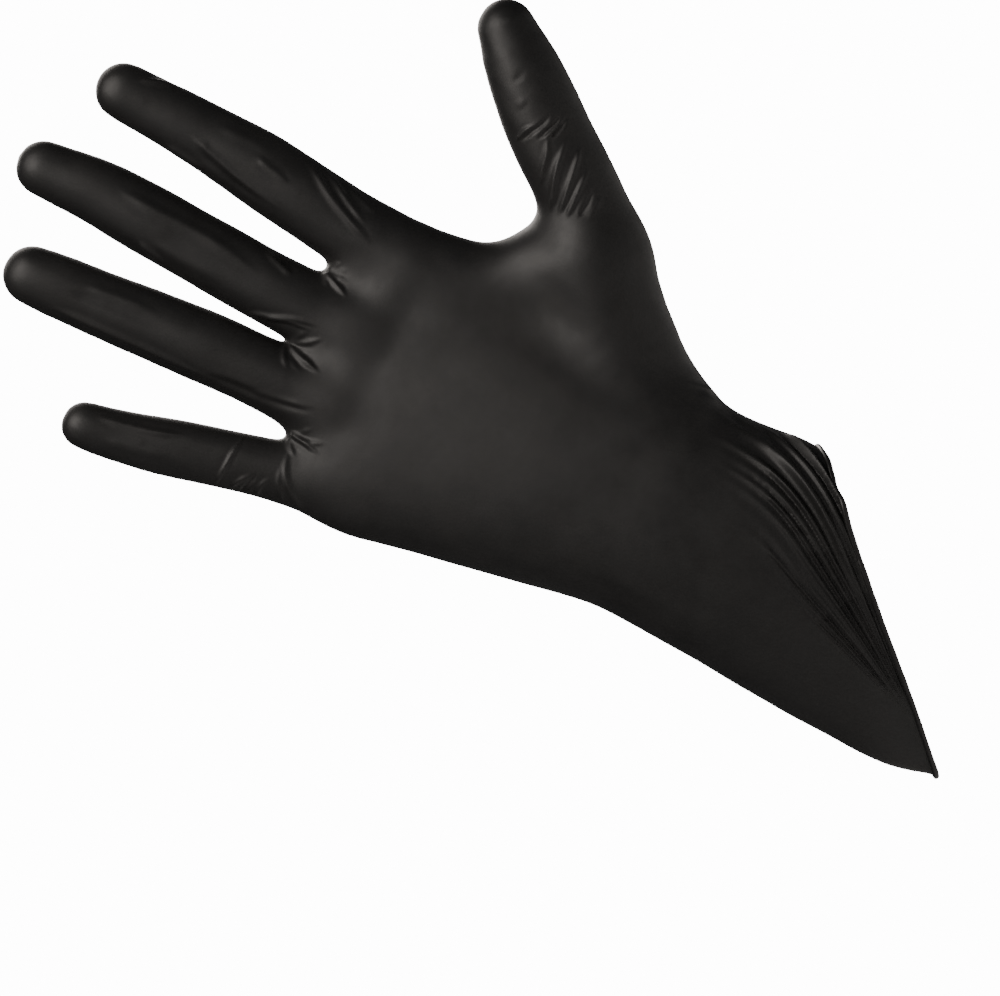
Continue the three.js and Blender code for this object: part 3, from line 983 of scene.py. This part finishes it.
def build_glove():
    """Makes every piece, hangs the cuff, the palm and the rolled bead on their bodies, and hides the solids
    that the pieces stand for.
    """
    film_material = nitrile("black_nitrile_film", shade=0.011, roughness=0.49)
    bead_material = nitrile("black_nitrile_bead", shade=0.010, roughness=0.42)
    vertices, triangles = film_surface()
    normals = vertex_normals(vertices, triangles)
    owner = piece_names(vertices[triangles].mean(1))
    pieces = {}
    for name in sorted(set(owner)):
        pieces[name] = film_piece(name, vertices, normals, triangles[owner == name], film_material)
    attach(pieces["cuff_film"], "cuff")
    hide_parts("cuff")
    bend_across(pieces["wrist_film"])
    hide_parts("wrist_fold")
    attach(pieces["palm_film"], "palm")
    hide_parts("palm")
    for name in DIGITS:
        attach_digit(name, pieces)
    bead = rolled_bead(ordered_rim(vertices, triangles), bead_material)
    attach(bead, "cuff")
    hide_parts("cuff_bead")


# ---- Stage, light and camera --------------------------------------------------------------------

VIEW_CENTRE = Vector((-22.8, 0, 90.7)) * MM  # where the middle of the picture falls on the glove
VIEW_WIDTH = 250 * MM
VIEW_UP = Vector((0.877, 0, 0.480))
VIEW_DISTANCE = 1.5
SENSOR = 36.0
FLOOR_DROP = 0.23
FLOOR_RADIUS = 1.4
FLOOR_SIDES = 96
LAMP_COLOUR = (1, 0.94, 0.89)
SEEN_STRENGTH = 14.0  # of the white that the camera sees behind the glove
FELT_STRENGTH = 0.05  # of the light that it gives


def add_camera():
    """Looks straight at the palm, turned so that the glove leans as it does in the picture."""
    camera = bpy.data.cameras.new("camera")
    camera.sensor_width = SENSOR
    camera.lens = SENSOR * VIEW_DISTANCE / VIEW_WIDTH
    camera.clip_start = 0.01
    holder = bpy.data.objects.new("camera", camera)
    holder.location = VIEW_CENTRE - Vector((0, VIEW_DISTANCE, 0))
    back = Vector((0, -1, 0))
    right = VIEW_UP.cross(back).normalized()
    up = back.cross(right)
    holder.rotation_mode = "QUATERNION"
    holder.rotation_quaternion = Matrix((right, up, back)).transposed().to_quaternion()
    bpy.context.scene.collection.objects.link(holder)
    bpy.context.scene.camera = holder


def add_light(name, direction, distance, size, watts):
    """A soft square lamp that looks at the glove from a direction."""
    lamp = bpy.data.lights.new(name, "AREA")
    lamp.shape = "SQUARE"
    lamp.size = size
    lamp.energy = watts
    lamp.color = LAMP_COLOUR
    holder = bpy.data.objects.new(name, lamp)
    towards = Vector(direction).normalized()
    holder.location = VIEW_CENTRE + towards * distance
    holder.rotation_mode = "QUATERNION"
    holder.rotation_quaternion = towards.to_track_quat("Z", "Y")
    bpy.context.scene.collection.objects.link(holder)


def add_floor():
    """A plain pale disc below the glove."""
    low = cad_box[0].z - FLOOR_DROP
    mesh = bpy.data.meshes.new("floor")
    turns = [2 * math.pi * i / FLOOR_SIDES for i in range(FLOOR_SIDES)]
    rim = [(FLOOR_RADIUS * math.cos(t), FLOOR_RADIUS * math.sin(t), low) for t in turns]
    mesh.from_pydata(rim, [], [tuple(range(len(rim)))])
    floor = bpy.data.objects.new("floor", mesh)
    material = bpy.data.materials.new("pale_floor")
    material.use_nodes = True
    shader = material.node_tree.nodes["Principled BSDF"]
    shader.inputs["Base Color"].default_value = (0.86, 0.86, 0.86, 1)
    shader.inputs["Roughness"].default_value = 0.9
    mesh.materials.append(material)
    bpy.context.scene.collection.objects.link(floor)


def add_world():
    """White behind the glove, and a dim even light from all round."""
    world = bpy.data.worlds.new("studio")
    bpy.context.scene.world = world
    world.use_nodes = True
    nodes, links = world.node_tree.nodes, world.node_tree.links
    nodes.clear()
    seen = nodes.new("ShaderNodeBackground")
    seen.inputs["Color"].default_value = (1, 1, 1, 1)
    seen.inputs["Strength"].default_value = SEEN_STRENGTH
    felt = nodes.new("ShaderNodeBackground")
    felt.inputs["Color"].default_value = (0.92, 0.95, 1, 1)
    felt.inputs["Strength"].default_value = FELT_STRENGTH
    path = nodes.new("ShaderNodeLightPath")
    mix = nodes.new("ShaderNodeMixShader")
    out = nodes.new("ShaderNodeOutputWorld")
    links.new(path.outputs["Is Camera Ray"], mix.inputs["Fac"])
    links.new(felt.outputs["Background"], mix.inputs[1])
    links.new(seen.outputs["Background"], mix.inputs[2])
    links.new(mix.outputs["Shader"], out.inputs["Surface"])


add_camera()
add_world()
add_floor()
add_light("key", (-0.12, -1, 1.15), distance=0.75, size=0.6, watts=5.8)
add_light("low", (-0.1, -1, -0.75), distance=1.2, size=0.8, watts=5)
add_light("fill", (-0.9, -0.8, 0.35), distance=1.3, size=0.7, watts=0.7)
add_light("back", (0.2, 1, 0.7), distance=1.2, size=0.9, watts=12)
build_glove()
